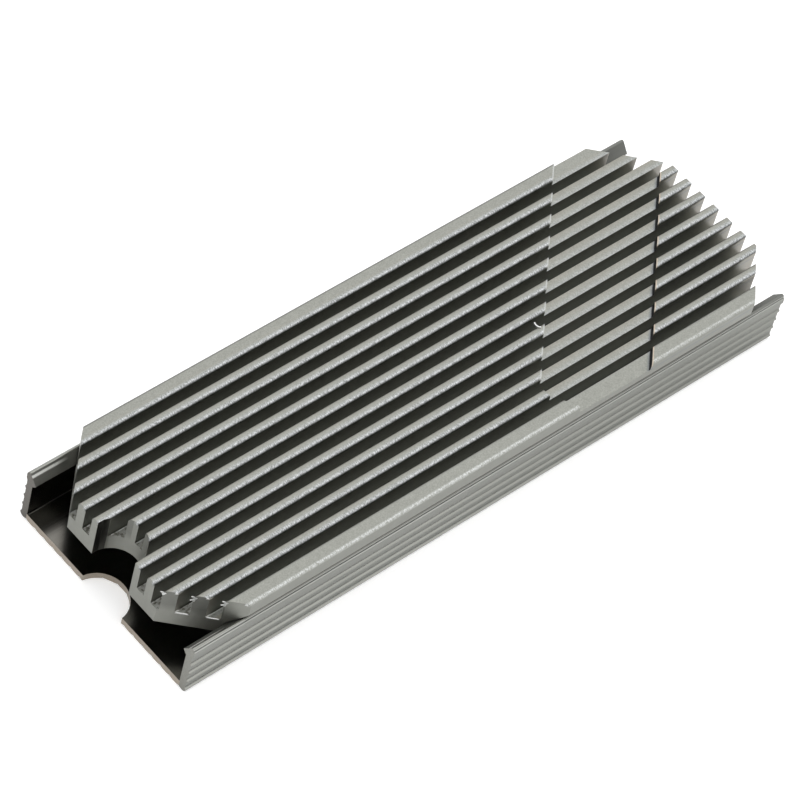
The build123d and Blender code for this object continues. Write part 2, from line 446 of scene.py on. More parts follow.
# %% [markdown]
# ### Cool front, warm back
# The remainder of Y after whole pitches runs from fin_front to fin_back across each fin. The
# blast hit the front harder, so the grey is cooler and paler there, and a trace of brown is
# left towards the back. This grey is the base. The colours of the next cells are laid over it
# one after another, each where its own mask is 1, so they are collected in a list.

# %% Cover aluminium: across a fin
across_pitch = add_node(cover_metal, "ShaderNodeMath", {
    0: cover_axes.outputs["Y"], 1: fin_pitch,
}, operation="FLOORED_MODULO")
toward_back = add_node(cover_metal, "ShaderNodeMapRange", {
    "Value": across_pitch.outputs[0],
    "From Min": fin_front + 0.1, "From Max": fin_back - 0.1, "To Min": 0.0, "To Max": 1.0,
})
fins_middle = (chips_back - bar_inner_side) / 2
off_front_bar = add_node(cover_metal, "ShaderNodeMath", {
    0: cover_axes.outputs["Y"], 1: fins_middle, 2: chips_back - fins_middle,
}, operation="COMPARE")
top_grey = add_node(cover_metal, "ShaderNodeMix", {
    "Factor": toward_back.outputs[0],
    "A": from_hex("#91938F"),
    "B": from_hex("#8A8981"),
}, data_type="RGBA")
fin_tops = add_node(cover_metal, "ShaderNodeMath", {
    0: off_front_bar.outputs[0], 1: facing_up.outputs[0],
}, operation="MULTIPLY")
satin_grey = add_node(cover_metal, "ShaderNodeMix", {
    "Factor": fin_tops.outputs[0],
    "A": from_hex("#8B8C86"),
    "B": top_grey.outputs["Result"],
}, data_type="RGBA")
cover_layers = []
print("Fins run from cool to warm over", fin_thickness, "mm")

# %% [markdown]
# ### Chipped front edges, with a painted highlight
# Along the front edge of each fin's top, where the fin was never milled, a row of bright chips
# with dark nicks between them is painted, narrow along the edge and longer across it. It is
# partly the blasting's real chips and partly a painted highlight of the rounded edge. They fade
# out over the front half millimetre, and a height test leaves only a faint trace of them on the
# milled band.

# %% Cover aluminium: edge chips
chip_width = 0.1
chip_length = 0.25
chips_on_band = 0.35
near_front_edge = add_node(cover_metal, "ShaderNodeMapRange", {
    "Value": across_pitch.outputs[0],
    "From Min": fin_front + 0.2, "From Max": fin_front + 0.5, "To Min": 1.0, "To Max": 0.0,
})
above_band = add_node(cover_metal, "ShaderNodeMapRange", {
    "Value": cover_axes.outputs["Z"],
    "From Min": band_top + 0.35, "From Max": band_top + 0.5, "To Min": 0.0, "To Max": 1.0,
})
chip_share = add_node(cover_metal, "ShaderNodeMath", {
    0: on_band.outputs[0], 1: chips_on_band, 2: above_band.outputs[0],
}, operation="MULTIPLY_ADD")
# Painted highlight: the chip zone also brightens the front edges as if they were rounded.
chip_and_highlight_zone = near_front_edge
for mask in (off_front_bar, chip_share):
    chip_and_highlight_zone = add_node(cover_metal, "ShaderNodeMath", {
        0: chip_and_highlight_zone.outputs[0], 1: mask.outputs[0],
    }, operation="MULTIPLY")
chip_stretch = add_node(cover_metal, "ShaderNodeMapping", {
    "Vector": cover_place,
    "Rotation": (0.0, 0.0, math.radians(20)),
    "Scale": (1 / chip_width, 1 / chip_length, 1 / chip_length),
})
chips = add_node(cover_metal, "ShaderNodeTexNoise", {
    "Vector": chip_stretch.outputs[0], "Scale": 1.0, "Detail": 1.0,
})
chip_light = add_node(cover_metal, "ShaderNodeMapRange", {
    "Value": chips.outputs[0],
    "From Min": 0.38, "From Max": 0.66, "To Min": 0.0, "To Max": 1.0,
})
chip_and_highlight_grey = add_node(cover_metal, "ShaderNodeMix", {
    "Factor": chip_light.outputs[0],
    "A": from_hex("#7C7E7D"),
    "B": from_hex("#BEC1C2"),
}, data_type="RGBA")
cover_layers.append((chip_and_highlight_zone, chip_and_highlight_grey.outputs["Result"]))
print("Chips are", chip_width, "by", chip_length, "mm")

# %% [markdown]
# ### Painted light and shade on the outer edges of the bars
# A highlight is painted along the rounding of the long outer edge at the front, broken into
# chips and a little weaker towards the plain end. The one at the back gets painted shade.

# %% Cover aluminium: outer edges of the bars
edge_inset = 0.22
highlight_weaker_from = 15.0
off_edge = add_node(cover_metal, "ShaderNodeMath", {
    0: cover_axes.outputs["Y"], 1: cover_side - edge_inset,
}, operation="ADD")
off_edge = add_node(cover_metal, "ShaderNodeMath", {0: off_edge.outputs[0]}, operation="ABSOLUTE")
# Painted highlight along the front outer edge.
front_edge_highlight = add_node(cover_metal, "ShaderNodeMapRange", {
    "Value": off_edge.outputs[0],
    "From Min": 0.06, "From Max": 0.21, "To Min": 1.0, "To Max": 0.0,
})
front_highlight_fade = add_node(cover_metal, "ShaderNodeMapRange", {
    "Value": cover_axes.outputs["X"],
    "From Min": 0.0, "From Max": highlight_weaker_from, "To Min": 1.0, "To Max": 0.75,
})
front_highlight_chips = add_node(cover_metal, "ShaderNodeMapRange", {
    "Value": chip_light.outputs[0],
    "From Min": 0.0, "From Max": 0.8, "To Min": 0.1, "To Max": 0.9,
})
for mask in (front_highlight_fade, front_highlight_chips, above_band):
    front_edge_highlight = add_node(cover_metal, "ShaderNodeMath", {
        0: front_edge_highlight.outputs[0], 1: mask.outputs[0],
    }, operation="MULTIPLY")
cover_layers.append((front_edge_highlight, from_hex("#BFC1C0")))
# Painted shade along the back outer edge.
back_edge_shade = add_node(cover_metal, "ShaderNodeMapRange", {
    "Value": cover_axes.outputs["Y"],
    "From Min": cover_side - 0.3, "From Max": cover_side - 0.1, "To Min": 0.0, "To Max": 1.0,
})
back_edge_shade = add_node(cover_metal, "ShaderNodeMath", {
    0: back_edge_shade.outputs[0], 1: above_band.outputs[0],
}, operation="MULTIPLY")
cover_layers.append((back_edge_shade, from_hex("#4A4B49")))
print("The front outer edge is rubbed least from X", highlight_weaker_from, "mm on")

# %% [markdown]
# ### Painted shade on the outermost edges
# The outermost tenth of a millimetre on each side of every blasted top gets painted shade, so
# the top looks narrower than the fin. The milled band has crisp edges and gets none.

# %% Cover aluminium: painted shade on the outermost edges
off_crest = add_node(cover_metal, "ShaderNodeMath", {
    0: across_pitch.outputs[0], 1: fin_pitch / 2,
}, operation="SUBTRACT")
off_crest = add_node(cover_metal, "ShaderNodeMath", {0: off_crest.outputs[0]}, operation="ABSOLUTE")
# Painted shade on both rims of each fin top.
rim_painted_shade = add_node(cover_metal, "ShaderNodeMapRange", {
    "Value": off_crest.outputs[0],
    "From Min": fin_thickness / 2 - 0.16, "From Max": fin_thickness / 2 - 0.02,
    "To Min": 0.0, "To Max": 1.0,
})
for mask in (off_front_bar, above_band):
    rim_painted_shade = add_node(cover_metal, "ShaderNodeMath", {
        0: rim_painted_shade.outputs[0], 1: mask.outputs[0],
    }, operation="MULTIPLY")
cover_layers.append((rim_painted_shade, from_hex("#3C3D3B")))
print("Outermost edges dulled")

# %% [markdown]
# ### Fins at the cut front corner
# The cut faces of the fins at the front corner are darker than the sawn end beside them. They
# are found by their normal: the sum of its X and Y is near -1.41 on a face at 45 degrees, so
# a test at 1.3 leaves out all others.

# %% Cover aluminium: fins at the cut front corner
near_45_degrees = 1.3
cover_half = add_node(cover_metal, "ShaderNodeMath", {0: cover_axes.outputs["Y"]}, operation="ABSOLUTE")
between_bars = add_node(cover_metal, "ShaderNodeMath", {
    0: cover_half.outputs[0], 1: bar_inner_side + 0.1,
}, operation="LESS_THAN")
above_gap_floor = add_node(cover_metal, "ShaderNodeMapRange", {
    "Value": cover_axes.outputs["Z"],
    "From Min": gap_floor, "From Max": gap_floor + 1.0, "To Min": 0.0, "To Max": 1.0,
})
cut_face = add_node(cover_metal, "ShaderNodeMath", {
    0: cover_facing.outputs["X"], 1: cover_facing.outputs["Y"],
}, operation="ADD")
cut_face = add_node(cover_metal, "ShaderNodeMath", {
    0: cut_face.outputs[0], 1: -near_45_degrees,
}, operation="LESS_THAN")
for mask in (between_bars, above_gap_floor):
    cut_face = add_node(cover_metal, "ShaderNodeMath", {
        0: cut_face.outputs[0], 1: mask.outputs[0],
    }, operation="MULTIPLY")
cover_layers.append((cut_face, from_hex("#767772")))
print("Cut faces darkened above Z", gap_floor, "mm")

# %% [markdown]
# ### Painted shade in the gaps, and rubbed ends
# The fins' sides are painted darker than their tops, as shade deep in the gaps. At the plain end
# the stacked bars rub against each other in the anodising rack, and there the fins' sides are
# bare, pale and a little warm. So are they beside the cut front corner.

# %% Cover aluminium: fins' sides
rubbed_length = 3.0
beside_cut_length = 1.3
cut_corner_line = cover_notch_end - cover_side + notch_end_corner_cut
# Painted shade on the fins' sides between the bars.
shaded_fin_side = add_node(cover_metal, "ShaderNodeMath", {0: cover_facing.outputs["Y"]}, operation="ABSOLUTE")
shaded_fin_side = add_node(cover_metal, "ShaderNodeMath", {
    0: shaded_fin_side.outputs[0], 1: 0.9,
}, operation="GREATER_THAN")
shaded_fin_side = add_node(cover_metal, "ShaderNodeMath", {
    0: shaded_fin_side.outputs[0], 1: between_bars.outputs[0],
}, operation="MULTIPLY")
past_corner = add_node(cover_metal, "ShaderNodeMath", {
    0: cover_half.outputs[0], 1: cover_side - plain_end_corner_cut,
}, operation="SUBTRACT")
past_corner = add_node(cover_metal, "ShaderNodeMath", {
    0: past_corner.outputs[0], 1: 0.0,
}, operation="MAXIMUM")
plain_end_reach = add_node(cover_metal, "ShaderNodeMath", {
    0: cover_axes.outputs["X"], 1: past_corner.outputs[0],
}, operation="ADD")
at_plain_end = add_node(cover_metal, "ShaderNodeMapRange", {
    "Value": plain_end_reach.outputs[0],
    "From Min": cover_plain_end - rubbed_length, "From Max": cover_plain_end,
    "To Min": 0.0, "To Max": 1.0,
})
past_cut_corner = add_node(cover_metal, "ShaderNodeMath", {
    0: cover_axes.outputs["X"], 1: cover_axes.outputs["Y"],
}, operation="ADD")
beside_cut = add_node(cover_metal, "ShaderNodeMapRange", {
    "Value": past_cut_corner.outputs[0],
    "From Min": cut_corner_line, "From Max": cut_corner_line + beside_cut_length,
    "To Min": 0.8, "To Max": 0.0,
})
rubbed = add_node(cover_metal, "ShaderNodeMath", {
    0: at_plain_end.outputs[0], 1: beside_cut.outputs[0],
}, operation="MAXIMUM")
fin_side_shade_and_rub_grey = add_node(cover_metal, "ShaderNodeMix", {
    "Factor": rubbed.outputs[0],
    "A": from_hex("#83847D"),
    "B": from_hex("#9A968E"),
}, data_type="RGBA")
cover_layers.append((shaded_fin_side, fin_side_shade_and_rub_grey.outputs["Result"]))
print("Fins' sides darkened, and rubbed over the last", rubbed_length, "mm")

# %% [markdown]
# ### Back side of the notch
# The U notch takes 0.2 mm off the front of the fin behind it. That cut lies in the fin's own
# shade and shows dark.

# %% Cover aluminium: back side of the notch
notch_side = add_node(cover_metal, "ShaderNodeMath", {
    0: cover_axes.outputs["Y"], 1: notch_half - 0.08, 2: 0.1,
}, operation="COMPARE")
before_notch_ends = add_node(cover_metal, "ShaderNodeMath", {
    0: cover_axes.outputs["X"], 1: notch_is_past,
}, operation="LESS_THAN")
facing_aside = add_node(cover_metal, "ShaderNodeMath", {
    0: facing_up.outputs[0], 1: 0.5,
}, operation="LESS_THAN")
for mask in (before_notch_ends, facing_aside):
    notch_side = add_node(cover_metal, "ShaderNodeMath", {
        0: notch_side.outputs[0], 1: mask.outputs[0],
    }, operation="MULTIPLY")
cover_layers.append((notch_side, from_hex("#4A4A46")))
print("Back side of the notch darkened up to X", notch_is_past, "mm")

# %% [markdown]
# ### Painted highlights along the band's steps
# A bright line is painted along both slanting steps of the band, as a highlight on the top edge
# where the cutter left a burr. They run where X less Y is constant. The first ends where the
# band turns along the front bar.

# %% Cover aluminium: painted highlights along the band's steps
along_slant = add_node(cover_metal, "ShaderNodeMath", {
    0: cover_axes.outputs["X"], 1: cover_axes.outputs["Y"],
}, operation="SUBTRACT")
behind_turn = add_node(cover_metal, "ShaderNodeMath", {
    0: cover_axes.outputs["Y"], 1: band_turn,
}, operation="GREATER_THAN")
# Painted highlight along the first step's edge.
first_step_highlight = add_node(cover_metal, "ShaderNodeMath", {
    0: along_slant.outputs[0], 1: band_first_step - 0.1, 2: 0.1,
}, operation="COMPARE")
for mask in (above_band, behind_turn):
    first_step_highlight = add_node(cover_metal, "ShaderNodeMath", {
        0: first_step_highlight.outputs[0], 1: mask.outputs[0],
    }, operation="MULTIPLY")
cover_layers.append((first_step_highlight, from_hex("#A7A9A6")))
# Painted warm highlight on the fins' ends after the second step.
second_step_highlight = add_node(cover_metal, "ShaderNodeMath", {
    0: along_slant.outputs[0], 1: band_second_step + 0.09, 2: 0.08,
}, operation="COMPARE")
second_step_highlight = add_node(cover_metal, "ShaderNodeMath", {
    0: second_step_highlight.outputs[0], 1: above_band.outputs[0],
}, operation="MULTIPLY")
cover_layers.append((second_step_highlight, from_hex("#AEA394")))
print("X less Y is", round(band_first_step, 2), "and", round(band_second_step, 2), "mm there")

# %% [markdown]
# ### Painted reflection and shade at the second step
# Before the second step the band's tops get a painted bluish reflection of the step's wall and a
# painted shadow line at its foot, and the step's wall itself gets painted shade. Behind the last
# gap the band runs on to the plain end.

# %% Cover aluminium: the band's far end
reflection_length = 0.6
before_last_gap = add_node(cover_metal, "ShaderNodeMath", {
    0: cover_axes.outputs["Y"], 1: band_last_gap,
}, operation="LESS_THAN")
on_band_before_step = add_node(cover_metal, "ShaderNodeMath", {
    0: on_band.outputs[0], 1: before_last_gap.outputs[0],
}, operation="MULTIPLY")
# Painted reflection of the step's wall on the band's tops.
step_reflection = add_node(cover_metal, "ShaderNodeMapRange", {
    "Value": along_slant.outputs[0],
    "From Min": band_second_step - reflection_length, "From Max": band_second_step,
    "To Min": 0.0, "To Max": 0.8,
})
step_reflection = add_node(cover_metal, "ShaderNodeMath", {
    0: step_reflection.outputs[0], 1: above_band.outputs[0],
}, operation="SUBTRACT", use_clamp=True)
# Painted shadow at the foot of the step.
step_foot_shadow = add_node(cover_metal, "ShaderNodeMath", {
    0: along_slant.outputs[0], 1: band_second_step - 0.1, 2: 0.1,
}, operation="COMPARE")
for mask, colour in ((step_reflection, "#767D85"), (step_foot_shadow, "#3A3B3D")):
    mask = add_node(cover_metal, "ShaderNodeMath", {
        0: mask.outputs[0], 1: on_band_before_step.outputs[0],
    }, operation="MULTIPLY")
    cover_layers.append((mask, from_hex(colour)))
# Painted shade on the wall of the second step.
shaded_step_wall = add_node(cover_metal, "ShaderNodeMath", {
    0: cover_facing.outputs["Y"], 1: cover_facing.outputs["X"],
}, operation="SUBTRACT")
shaded_step_wall = add_node(cover_metal, "ShaderNodeMath", {
    0: shaded_step_wall.outputs[0], 1: near_45_degrees,
}, operation="GREATER_THAN")
plain_half = add_node(cover_metal, "ShaderNodeMath", {
    0: cover_axes.outputs["X"], 1: 0.0,
}, operation="GREATER_THAN")
shaded_step_wall = add_node(cover_metal, "ShaderNodeMath", {
    0: shaded_step_wall.outputs[0], 1: plain_half.outputs[0],
}, operation="MULTIPLY")
cover_layers.append((shaded_step_wall, from_hex("#2C2C2D")))
print("The smear is", reflection_length, "mm long")

# %% [markdown]
# ### Rough gap floors
# The gap floors at the notch end are rough where the cutter broke through, with small dark pits.

# %% Cover aluminium: rough gap floors
floor_pit = 0.35
near_notch_end = add_node(cover_metal, "ShaderNodeMapRange", {
    "Value": cover_axes.outputs["X"],
    "From Min": notch_is_past - 2.5, "From Max": notch_is_past, "To Min": 1.0, "To Max": 0.0,
})
on_gap_floor = add_node(cover_metal, "ShaderNodeMath", {
    0: cover_axes.outputs["Z"], 1: gap_floor + 0.2,
}, operation="LESS_THAN")
rough_floor = near_notch_end
for mask in (on_gap_floor, facing_up):
    rough_floor = add_node(cover_metal, "ShaderNodeMath", {
        0: rough_floor.outputs[0], 1: mask.outputs[0],
    }, operation="MULTIPLY")
floor_pits = add_node(cover_metal, "ShaderNodeTexNoise", {
    "Vector": cover_place, "Scale": 1 / floor_pit, "Detail": 2.0,
})
pit_light = add_node(cover_metal, "ShaderNodeMapRange", {
    "Value": floor_pits.outputs[0],
    "From Min": 0.4, "From Max": 0.52, "To Min": 0.0, "To Max": 1.0,
})
pitted_grey = add_node(cover_metal, "ShaderNodeMix", {
    "Factor": pit_light.outputs[0],
    "A": from_hex("#6E6C66"),
    "B": from_hex("#A7A8A4"),
}, data_type="RGBA")
cover_layers.append((rough_floor, pitted_grey.outputs["Result"]))
print("Pits", floor_pit, "mm wide; the cover has", len(cover_layers), "layers of colour")

# %% [markdown]
# ### The cover's layers, roughness and bump
# The layers are laid over the base grey, and the grain then lightens or darkens the result.
# Anodised aluminium is a metal, and the blasting makes its roughness about a third. The sawn
# end is rougher than the rest.

# %% Cover aluminium: colour, roughness and bump
sawn_roughness = 0.13
pit_depth = 0.01
cover_grey = satin_grey
for mask, colour in cover_layers:
    cover_grey = add_node(cover_metal, "ShaderNodeMix", {
        "Factor": mask.outputs[0],
        "A": cover_grey.outputs["Result"],
        "B": colour,
    }, data_type="RGBA")
cover_tone = add_node(cover_metal, "ShaderNodeVectorMath", {
    0: cover_grey.outputs["Result"], "Scale": grain_tone.outputs[0],
}, operation="SCALE")
cover_metal.node_tree.links.new(cover_tone.outputs[0], cover_shader.inputs["Base Color"])
cover_roughness = add_node(cover_metal, "ShaderNodeMapRange", {
    "Value": bead_pits.outputs[0],
    "From Min": 0.3, "From Max": 0.7, "To Min": 0.3, "To Max": 0.4,
})
sawn_end = add_node(cover_metal, "ShaderNodeMapRange", {
    "Value": cover_facing.outputs["X"],
    "From Min": -0.4, "From Max": -0.2, "To Min": 1.0, "To Max": 0.0,
})
cover_roughness = add_node(cover_metal, "ShaderNodeMath", {
    0: sawn_end.outputs[0], 1: sawn_roughness, 2: cover_roughness.outputs[0],
}, operation="MULTIPLY_ADD")
cover_metal.node_tree.links.new(cover_roughness.outputs[0], cover_shader.inputs["Roughness"])
cover_bump = add_node(cover_metal, "ShaderNodeBump", {
    "Height": bead_pits.outputs[0], "Distance": pit_depth * mm, "Strength": 0.5,
})
cover_metal.node_tree.links.new(cover_bump.outputs[0], cover_shader.inputs["Normal"])
cover_shader.inputs["Metallic"].default_value = 1.0
cover_node = frame["nodes"]["finned_cover"]
cover_node.data.materials.clear()
cover_node.data.materials.append(cover_metal)
print("Cover finished in", cover_metal.name)

# %% [markdown]
# ## Burrs: bare aluminium
# The cutter that took the front corner off left thin burrs where it came out of the metal. They
# are brighter than the rest, because they are bare and catch the light from every side.

# %% Bare aluminium of the burrs
tear = 0.15
bare_metal, bare_shader = new_material("bare torn aluminium")
bare_place = add_node(bare_metal, "ShaderNodeTexCoord").outputs["Object"]
tears = add_node(bare_metal, "ShaderNodeTexNoise", {
    "Vector": bare_place, "Scale": 1 / (tear * mm),
})
bare_grey = add_node(bare_metal, "ShaderNodeMix", {
    "Factor": tears.outputs[0],
    "A": from_hex("#A6A8A7"),
    "B": from_hex("#F0F0EE"),
}, data_type="RGBA")
bare_metal.node_tree.links.new(bare_grey.outputs["Result"], bare_shader.inputs["Base Color"])
bare_shader.inputs["Metallic"].default_value = 1.0
bare_shader.inputs["Roughness"].default_value = 0.4
print("Burrs are left bare, with tears", tear, "mm wide")

# %% [markdown]
# ### How a burr is drawn
# A burr is a thin foil that starts as wide as the edge it was torn from, then narrows and
# curls. A small plane is its root. Its far edge is extruded step by step along a heading that
# turns, and is drawn narrower each time. The Solidify modifier gives it its thickness.

# %% Draw one burr
def draw_burr(name, root, heading, face, width, length, curl=0.0, taper=0.8, thickness=0.07):
    """Draw a foil from root along heading, curling toward face. Sizes are in millimetres."""
    steps = 5
    step = length / steps * mm
    clear_selection()
    bpy.ops.mesh.primitive_plane_add(size=1.0)
    burr = bpy.context.active_object
    burr.name = name
    bpy.ops.transform.resize(value=(step, width * mm, 1.0))
    bpy.ops.object.transform_apply(location=True, rotation=True, scale=True)
    bpy.ops.object.mode_set(mode="EDIT")
    bpy.ops.mesh.select_all(action="DESELECT")
    bpy.ops.object.mode_set(mode="OBJECT")
    for vertex in burr.data.vertices:
        vertex.select = vertex.co.x > 0
    bpy.ops.object.mode_set(mode="EDIT")
    for number in range(1, steps):
        angle = math.radians(curl) * number / (steps - 1)
        onward = (step * math.cos(angle), 0.0, step * math.sin(angle))
        bpy.ops.mesh.extrude_region_move(TRANSFORM_OT_translate={"value": onward})
        bpy.ops.transform.resize(value=(1.0, taper, 1.0), center_override=(0.0, 0.0, 0.0))
    bpy.ops.object.mode_set(mode="OBJECT")
    foil = burr.modifiers.new("foil", "SOLIDIFY")
    foil.thickness = thickness * mm
    foil.offset = 0.0
    bpy.ops.object.modifier_apply(modifier=foil.name)
    along = Vector(heading).normalized()
    across = Vector(face).cross(along).normalized()
    outward_face = along.cross(across)
    stand = Matrix((along, across, outward_face)).transposed().to_4x4()
    burr.matrix_world = Matrix.Translation(Vector(root) * mm) @ stand
    bpy.ops.object.transform_apply(location=True, rotation=True, scale=True)
    bpy.ops.object.shade_smooth_by_angle(angle=math.radians(30))
    burr.data.materials.append(bare_metal)
    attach(burr, "cover_body")
    print(name, "is", length, "mm long")


def on_corner_cut(y, z):
    """A point of the cut front corner at the notch end, at depth y and height z."""
    uncut = cover_side - notch_end_corner_cut
    return Vector((cover_notch_end - y - uncut, y, z))


# %% [markdown]
# ### Burrs of the cut front corner
# Two fins and the bar have a horn at the back of their cut faces, pointing back and up. The
# last two have a smaller tooth below it. Their front corners have a short bright lip, and so
# have the two gap floors between them.

# %% Horns and lips along the cut corner
toward_back_edge = Vector((-1.0, 1.0, 0.0)).normalized()
out_of_cut = Vector((-1.0, -1.0, 0.0)).normalized()
upward = Vector((0.0, 0.0, 1.0))
horn_backs = (-6.5, -8.5, -bar_inner_side)
front_corners = (-7.38, -9.38, -11.9)
floor_middles = (-8.0, -10.0)
for number, y in enumerate(horn_backs, start=1):
    horn_root = on_corner_cut(y, cover_top - 0.45) - 0.15 * toward_back_edge
    draw_burr("horn_%d" % number, horn_root, toward_back_edge + 1.1 * upward, out_of_cut,
              width=0.42, length=0.62, curl=20.0, taper=0.7)
for number, y in enumerate(horn_backs[1:], start=1):
    tooth_root = on_corner_cut(y, cover_top - 0.75) - 0.1 * toward_back_edge
    draw_burr("tooth_%d" % number, tooth_root, toward_back_edge + 0.25 * upward, out_of_cut,
              width=0.3, length=0.5, curl=25.0, taper=0.65)
for number, y in enumerate(front_corners, start=1):
    lip_root = on_corner_cut(y, cover_top - 0.2)
    draw_burr("corner_lip_%d" % number, lip_root, upward, out_of_cut,
              width=0.32, length=0.2, curl=35.0, taper=0.9)
for number, y in enumerate(floor_middles, start=1):
    floor_root = on_corner_cut(y, gap_floor - 0.1)
    draw_burr("floor_lip_%d" % number, floor_root, upward, out_of_cut,
              width=1.3, length=0.22, curl=40.0, taper=0.95)
print("Burrs drawn along the cut corner")

# %% [markdown]
# ### A curl of swarf
# One short curl from the milling still hangs on the edge of a fin, beside the band.

# %% Swarf curl
curl_root = Vector((12.6, -2.75, cover_top - 0.02))
draw_burr("swarf_curl", curl_root, (-0.75, 0.65, 0.03), (0.65, 0.75, 0.0),
          width=0.24, length=0.9, curl=75.0, taper=1.0, thickness=0.14)
print("Curl hung at", tuple(round(v, 2) for v in curl_root))

# %% [markdown]
# ## The tray's finish: grey anodised aluminium as it left the die
# The tray isn't blasted. The die draws faint lines along it, inside it is smooth and painted dark
# as shade, and the saw leaves the end of its floor bare and a little warmer.

# %% Tray aluminium: where on the part are we
tray_metal, tray_shader = new_material("extruded grey anodised aluminium")
tray_coordinates = add_node(tray_metal, "ShaderNodeTexCoord")
tray_place = add_node(tray_metal, "ShaderNodeVectorMath", {
    0: tray_coordinates.outputs["Object"],
    "Scale": 1 / mm,
}, operation="SCALE").outputs[0]
tray_axes = add_node(tray_metal, "ShaderNodeSeparateXYZ", {0: tray_place})
tray_facing = add_node(tray_metal, "ShaderNodeSeparateXYZ", {0: tray_coordinates.outputs["Normal"]})
from_middle = add_node(tray_metal, "ShaderNodeMath", {0: tray_axes.outputs["Y"]}, operation="ABSOLUTE")
print("The tray's patterns read millimetres")

# %% [markdown]
# ### Die lines
# The die draws faint lines along the whole tray, so the noise is stretched far along X.

# %% Tray aluminium: die lines
die_line_pitch = 0.25
die_line_length = 30.0
die_stretch = add_node(tray_metal, "ShaderNodeMapping", {
    "Vector": tray_place,
    "Scale": (1 / die_line_length, 1 / die_line_pitch, 1 / die_line_pitch),
})
die_lines = add_node(tray_metal, "ShaderNodeTexNoise", {
    "Vector": die_stretch.outputs[0], "Scale": 1.0, "Detail": 3.0, "Roughness": 0.6,
})
die_tone = add_node(tray_metal, "ShaderNodeMapRange", {
    "Value": die_lines.outputs[0],
    "From Min": 0.3, "From Max": 0.7, "To Min": 0.93, "To Max": 1.07,
})
print("Die lines are drawn", die_line_pitch, "mm apart")

# %% [markdown]
# ### Inside the channel
# The inside is told from the outside by its distance from the middle and its height, and painted
# shade makes it darker. This is the base grey, and the colours of the next cells are laid over
# it in turn.

# %% Tray aluminium: inside and outside
between_walls = add_node(tray_metal, "ShaderNodeMath", {
    0: from_middle.outputs[0], 1: channel_half + 0.05,
}, operation="LESS_THAN")
above_floor = add_node(tray_metal, "ShaderNodeMath", {
    0: tray_axes.outputs["Z"], 1: tray_floor_top - 0.01,
}, operation="GREATER_THAN")
endward = add_node(tray_metal, "ShaderNodeMath", {0: tray_facing.outputs["X"]}, operation="ABSOLUTE")
not_an_end = add_node(tray_metal, "ShaderNodeMath", {
    0: endward.outputs[0], 1: 0.5,
}, operation="LESS_THAN")
inside = between_walls
for mask in (above_floor, not_an_end):
    inside = add_node(tray_metal, "ShaderNodeMath", {
        0: inside.outputs[0], 1: mask.outputs[0],
    }, operation="MULTIPLY")
# Painted shade inside the channel.
grey_with_inner_shade = add_node(tray_metal, "ShaderNodeMix", {
    "Factor": inside.outputs[0],
    "A": from_hex("#868782"),
    "B": from_hex("#706E69"),
}, data_type="RGBA")
tray_layers = []
print("Inside is darker than outside")

# %% [markdown]
# ### Tops of the walls
# The shallow valley beside the lip bead gets painted light along the whole wall, against its shade.
# The flat inward of it gets painted shade from the cover's cut corner on, under the cover's bar.

# %% Tray aluminium: tops of the walls
# Painted light in the valley beside the lip bead.
valley_painted_light = add_node(tray_metal, "ShaderNodeMath", {
    0: tray_axes.outputs["Z"], 1: lip_valley_height, 2: 0.15,
}, operation="COMPARE")
outside = add_node(tray_metal, "ShaderNodeMath", {
    0: from_middle.outputs[0], 1: cover_side - 0.25,
}, operation="GREATER_THAN")
valley_painted_light = add_node(tray_metal, "ShaderNodeMath", {
    0: valley_painted_light.outputs[0], 1: outside.outputs[0],
}, operation="MULTIPLY")
tray_layers.append((valley_painted_light, from_hex("#A4A5A1")))
# Painted shade on the wall top under the cover's bar.
shade_under_bar = add_node(tray_metal, "ShaderNodeMath", {
    0: from_middle.outputs[0], 1: bar_shade_inward_of,
}, operation="LESS_THAN")
on_wall_top = add_node(tray_metal, "ShaderNodeMath", {
    0: tray_axes.outputs["Z"], 1: lip_valley_height,
}, operation="GREATER_THAN")
under_cover = add_node(tray_metal, "ShaderNodeMath", {
    0: tray_axes.outputs["X"], 1: cover_covers_from,
}, operation="GREATER_THAN")
for mask in (on_wall_top, under_cover):
    shade_under_bar = add_node(tray_metal, "ShaderNodeMath", {
        0: shade_under_bar.outputs[0], 1: mask.outputs[0],
    }, operation="MULTIPLY")
tray_layers.append((shade_under_bar, from_hex("#6E6F6B")))
print("Wall tops worn from X", cover_covers_from, "mm on")

# %% [markdown]
# ### Sawn ends
# The walls' ends at the notch are darker towards the back. The end of the floor and the rim of
# the notch are the upright faces below the floor's top. The saw left them bare and warmer.

# %% Tray aluminium: sawn ends
wall_end = add_node(tray_metal, "ShaderNodeMath", {
    0: tray_facing.outputs["X"], 1: -0.7,
}, operation="LESS_THAN")
toward_back_wall = add_node(tray_metal, "ShaderNodeMapRange", {
    "Value": tray_axes.outputs["Y"],
    "From Min": -cover_side, "From Max": cover_side, "To Min": 0.0, "To Max": 1.0,
})
wall_end_grey = add_node(tray_metal, "ShaderNodeMix", {
    "Factor": toward_back_wall.outputs[0],
    "A": from_hex("#888882"),
    "B": from_hex("#5E5B56"),
}, data_type="RGBA")
tray_layers.append((wall_end, wall_end_grey.outputs["Result"]))
level = add_node(tray_metal, "ShaderNodeMath", {0: tray_facing.outputs["Z"]}, operation="ABSOLUTE")
sawn_floor = add_node(tray_metal, "ShaderNodeMath", {
    0: level.outputs[0], 1: 0.3,
}, operation="LESS_THAN")
in_the_floor = add_node(tray_metal, "ShaderNodeMath", {
    0: tray_axes.outputs["Z"], 1: tray_floor_top,
}, operation="LESS_THAN")
for mask in (in_the_floor, between_walls):
    sawn_floor = add_node(tray_metal, "ShaderNodeMath", {
        0: sawn_floor.outputs[0], 1: mask.outputs[0],
    }, operation="MULTIPLY")
tray_layers.append((sawn_floor, from_hex("#A59C90")))
print("Ends of the walls and the floor sawn")

